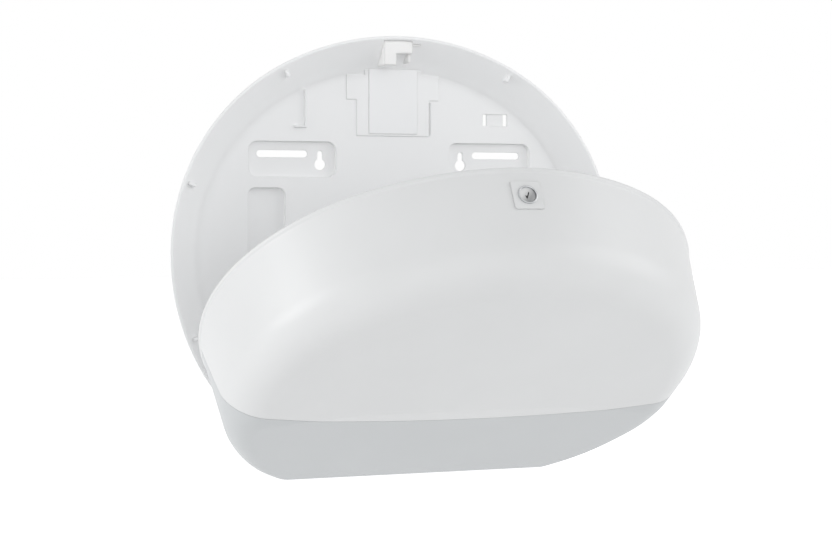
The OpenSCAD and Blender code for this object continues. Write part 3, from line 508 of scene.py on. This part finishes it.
class Finish(Graph):
    """A material that is built from expressions."""

    def __init__(self, name):
        self.material = bpy.data.materials.new(name)
        self.material.use_nodes = True
        super().__init__(self.material.node_tree)
        self.shader = self.tree.nodes["Principled BSDF"]
        self.where = self.node("ShaderNodeTexCoord", {}, {}, "Object")

    def axes(self, vector):
        """The three parts of a vector."""
        return [self.node("ShaderNodeSeparateXYZ", {}, {0: vector}, axis) for axis in "XYZ"]

    def noise(self, scale, detail=2.0, rough=0.5, stretch=None):
        """Noise with scale waves to the metre, finer or coarser along each axis by stretch."""
        place = self.where
        if stretch:
            place = self.node("ShaderNodeMapping", {}, {"Vector": place, "Scale": stretch})
        values = {"Vector": place, "Scale": scale, "Detail": detail, "Roughness": rough}
        return self.node("ShaderNodeTexNoise", {}, values)

    def mix(self, factor, a, b):
        """Colour a where factor is 0, colour b where it is 1."""
        return self.node("ShaderNodeMix", {"data_type": "RGBA"}, {0: factor, 6: a, 7: b}, 2)

    def ramp(self, value, low, high):
        """Straight ramp from 0 at low to 1 at high."""
        return self.node("ShaderNodeMapRange", {}, {0: value, 1: low, 2: high})

    def ease(self, value, width):
        """Smooth step from 0 at 0 to 1 at width."""
        shape = {"interpolation_type": "SMOOTHSTEP"}
        return self.node("ShaderNodeMapRange", shape, {0: value, 1: 0.0, 2: width})

    def vector_sum(self, a, b):
        """Sum of two vectors, brought back to a length of 1."""
        both = self.node("ShaderNodeVectorMath", {"operation": "ADD"}, {0: a, 1: b})
        return self.node("ShaderNodeVectorMath", {"operation": "NORMALIZE"}, {0: both})

    def bump(self, height, strength, distance, base=None):
        """The surface's normal, or the base given, tilted by the slope of height."""
        values = {"Height": height, "Strength": strength, "Distance": distance}
        if base:
            values["Normal"] = base
        return self.node("ShaderNodeBump", {}, values, "Normal")

    def set(self, **values):
        """Feeds the shader's sockets by name, and gives back the material."""
        for key, value in values.items():
            self.put(self.shader.inputs[key.replace("_", " ")], value)
        return self.material


def tinted(colour, factor):
    """A colour made lighter or darker by a factor."""
    return tuple(min(1.0, c * factor) for c in colour) + (1,)


def plastic(name, colour, rough, grain, gloss=0.0, tone=0.025, edge=0.8, bend=None):
    """Moulded plastic: a slow drift of tone, faint flow marks, edges rounded over edge
    millimetres, and a fine skin of two noise sizes. bend, a function of the finish and its
    normal, may turn the normal."""
    f = Finish(name)
    drift = f.noise(9.0, detail=3.0)
    flow = f.noise(26.0, detail=4.0, rough=0.6, stretch=(1.0, 1.0, 0.25))
    shade = f.ramp(drift * 0.7 + flow * 0.3, 0.3, 0.7)
    skin = f.noise(1500.0, rough=0.6) * 0.6 + f.noise(420.0) * 0.4
    soft = f.node("ShaderNodeBevel", {"samples": 6}, {"Radius": edge * MM})
    if bend:
        soft = bend(f, soft)
    return f.set(
        Base_Color=f.mix(shade, tinted(colour, 1 - tone), tinted(colour, 1 + tone / 2)),
        Roughness=f.ramp(flow, 0.2, 0.8) * 0.06 + (rough - 0.03),
        Normal=f.bump(skin, strength=grain, distance=0.4 * MM, base=soft),
        Coat_Weight=gloss,
        Coat_Roughness=0.12,
        IOR=1.52,
    )


def plate_bend(f, edges):
    """The back plate's normal, as if a wide bend led from the sloping flank to the flat base: near
    the crease, which lies a fixed distance inside the outline, the normal turns evenly from the
    base's to the flank's. The outline's arcs are those of the shapes."""
    x, _, z = f.axes(f.where)
    wide = abs(x)
    in_top = ((z - TOP_CZ * MM) * tan(TOP_HALF) - wide).above(0)
    in_low = z.below(SKIRT_H * MM)

    def by_arc(side, top, low):
        """In metres, the length that goes with the arc abreast of this place."""
        return (in_top * (top - side) + in_low * (low - side) + side) * MM

    dx = wide - by_arc(SIDE_CX, 0.0, SKIRT_CX)
    dz = z - by_arc(SKIRT_H, TOP_CZ, SKIRT_H)
    reach = (dx * dx + dz * dz).power(0.5)
    inset = by_arc(SIDE_R, TOP_R, SKIRT_R) - reach
    slope = atan2(RIM_D - BASE_D, FLANK_W - RIM_LIP)
    turned = f.ease((FLANK_W + CREASE_W) * MM - inset, 2 * CREASE_W * MM) * slope
    there = inset.below(FLANK_W * MM) * slope
    normal = f.node("ShaderNodeNewGeometry", {}, {}, "Normal")
    front = f.axes(normal)[1].below(0) * 2.0 - 1.0
    across = (there.sine() - turned.sine()) * front / reach
    out = (there.cosine() - turned.cosine()) * front
    right = x.above(0) * 2.0 - 1.0
    change = f.node("ShaderNodeCombineXYZ", {}, {0: across * dx * right, 1: out, 2: across * dz})
    return f.vector_sum(edges, change)


def metal(name, colour, rough, brushed=(1.0, 1.0, 1.0), tone=0.12):
    """Plated or brushed metal: streaks along one way, with scattered dull specks."""
    f = Finish(name)
    streak = f.noise(900.0, detail=3.0, rough=0.65, stretch=brushed)
    dull = f.ramp(f.noise(160.0, detail=4.0, rough=0.7), 0.45, 0.75)
    return f.set(
        Base_Color=f.mix(streak, tinted(colour, 1 - tone), tinted(colour, 1)),
        Metallic=1.0,
        Roughness=dull * 0.12 + streak * 0.1 + rough,
        Normal=f.bump(streak, strength=0.12, distance=0.2 * MM),
    )


def plug_nickel_painted_light(name, dark, light, rough):
    """Satin nickel of the key plug, with a painted highlight fading to painted shade across the face.
    """
    f = Finish(name)
    x, y, z = f.axes(f.where)
    _, centre_y, centre_z = opened(lock_point(0.0, 0.0, 0.0)).tolist()
    tilt = OPEN_A + DRAFT
    face_y = (y - centre_y) * cos(tilt) + (z - centre_z) * sin(tilt)
    # Painted light: a highlight on one side of the face fades to shade on the other, in place of the
    # light on the dome.
    shade = f.ease(face_y - x + CAP_R * MM, 2 * CAP_R * MM)
    grain = f.noise(700.0, detail=3.0, rough=0.6)
    shaded, lit = (dark, dark * 1.015, dark * 1.03, 1), (light, light * 1.005, light * 1.01, 1)
    return f.set(
        Base_Color=f.mix(shade, shaded, lit),
        Metallic=1.0,
        Roughness=grain * 0.08 + rough,
        Normal=f.bump(grain, strength=0.08, distance=0.2 * MM),
    )


white_cover = plastic("white cover plastic", (0.723, 0.727, 0.725), 0.40, 0.10, gloss=0.06)
grey_band = plastic("grey band plastic", (0.56, 0.575, 0.58), 0.42, 0.12, gloss=0.05)
# The plate is the same white plastic as the cover, made lighter: painted light that makes up for the
# shade it gets behind the open cover.
white_plate = plastic("white plate plastic", (0.955, 0.957, 0.957), 0.42, 0.2, tone=0.012,
                      edge=1.2, bend=plate_bend)
inner_grey = plastic("inner grey plastic", (0.60, 0.61, 0.62), 0.45, 0.3)
label_sheet = plastic("label sheet", (0.958, 0.96, 0.964), 0.5, 0.05, tone=0.01)
keeper_white = plastic("keeper plastic", (0.96, 0.955, 0.945), 0.45, 0.2, tone=0.01, edge=3.0)
steel = metal("zinc plated steel", (0.62, 0.63, 0.65), 0.26)
toothed_steel = metal("brushed stainless", (0.66, 0.66, 0.67), 0.24, brushed=(1.0, 0.05, 1.0))
lock_metal = metal("polished nickel", (0.52, 0.53, 0.54), 0.24, tone=0.04)
# Nickel of the key plug, with a painted highlight and painted shade across its face.
plug_metal = plug_nickel_painted_light("satin nickel painted light", 0.25, 0.66, 0.34)

FINISHES = {
    "back_plate": white_plate, "latch_keeper": keeper_white, "label_panel": label_sheet,
    "spindle_carrier": inner_grey, "roll_spindle": inner_grey, "bottom_frame": inner_grey,
    "cover_shell": white_cover, "lower_band": grey_band, "lock_bezel": white_cover,
    "hinge_arm_left": inner_grey, "hinge_arm_right": inner_grey,
    "tear_bar_left": toothed_steel, "tear_bar_right": toothed_steel,
    "lock_barrel": lock_metal, "lock_plug": plug_metal,
}
for name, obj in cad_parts.items():
    obj.data.materials.clear()
    obj.data.materials.append(FINISHES.get(name, steel))

# -------------------------------------------------------------------- pieces
turns = np.radians(np.arange(-90, 271))
whole = cut(cut(wall_sheet(turns, 0.0, SHELL_T), above_foot), clear_of_hinge)
white = closed_wall(*cut(cut(whole, in_white), round_lock))
grey = closed_wall(*cut(whole, in_grey))
lap = closed_wall(*cut(cut(wall_sheet(turns, SHELL_T + LAP_GAP, LAP_T), above_foot), in_lap))
plug = joined(plug_cap(), plug_stem(), plug_hub())
make_piece("cover_skin", *white, "cover", ["cover_shell"], "white_plastic", white_cover)
make_piece("cover_tongue", *lap, "cover", [], "white_plastic", white_cover)
make_piece("band_skin", *grey, "cover", ["lower_band"], "grey_plastic", grey_band)
make_piece("plug_body", *plug, "lock", ["lock_plug"], "lock_metal", plug_metal)
make_piece("barrel_body", *barrel(), "cover", ["lock_barrel"], "lock_metal", lock_metal)


# -------------------------------------------------------------------- studio
def floor_white(name, glow):
    """Matt floor that glows for the camera, gloss and glass only, so that it turns white where no
    shadow falls."""
    f = Finish(name)
    light = f.mix(f.seen_directly(), (0, 0, 0, 1), (glow, glow, glow, 1))
    return f.set(
        Base_Color=(0.9, 0.9, 0.9, 1),
        Roughness=0.9,
        Emission_Color=light,
        Emission_Strength=1.0,
    )


def lay_floor(height, half, material):
    """Level square of twice the half width, which is not attached to any body of the object."""
    mesh = bpy.data.meshes.new("floor")
    signs = ((-1, -1), (1, -1), (1, 1), (-1, 1))
    mesh.from_pydata([(half * x, half * y, height) for x, y in signs], [], [(0, 1, 2, 3)])
    mesh.materials.append(material)
    obj = put_in_scene("floor", mesh)


def light_studio():
    """World that is pale light for the object and plain white for the camera, gloss and glass."""
    world = bpy.data.worlds.new("studio")
    bpy.context.scene.world = world
    world.use_nodes = True
    air = Graph(world.node_tree)
    light = air.node("ShaderNodeBackground", {}, {"Color": (0.975, 0.985, 1.0, 1), "Strength": SKY})
    white = air.node("ShaderNodeBackground", {}, {"Color": (1, 1, 1, 1), "Strength": 1.0})
    either = air.node("ShaderNodeMixShader", {}, {0: air.seen_directly(), 1: light, 2: white})
    air.put(air.tree.nodes["World Output"].inputs["Surface"], either)


def aimed(obj, place, aim):
    """Puts an object at place, looking at aim."""
    obj.location = place
    obj.rotation_mode = "QUATERNION"
    obj.rotation_quaternion = (Vector(aim) - Vector(place)).to_track_quat("-Z", "Y")
    return obj


def hang_lamp(name, place, size, watts):
    """Round area lamp that looks at the object."""
    data = bpy.data.lights.new(name, "AREA")
    data.shape = "DISK"
    data.size, data.energy = size, watts
    aimed(put_in_scene(name, data), place, LAMP_AIM)


lay_floor(FLOOR_Z, FLOOR_HALF, floor_white("floor white", FLOOR_GLOW))
light_studio()
for name, (place, size, watts) in LAMPS.items():
    hang_lamp(name, place, size, watts)

camera = bpy.data.cameras.new("camera")
camera.sensor_width, camera.lens = 36.0, LENS
camera.clip_start, camera.clip_end = 0.05, 100.0
bpy.context.scene.camera = aimed(put_in_scene("camera", camera), EYE, EYE_AIM)
bpy.context.scene.view_settings.view_transform = "Standard"
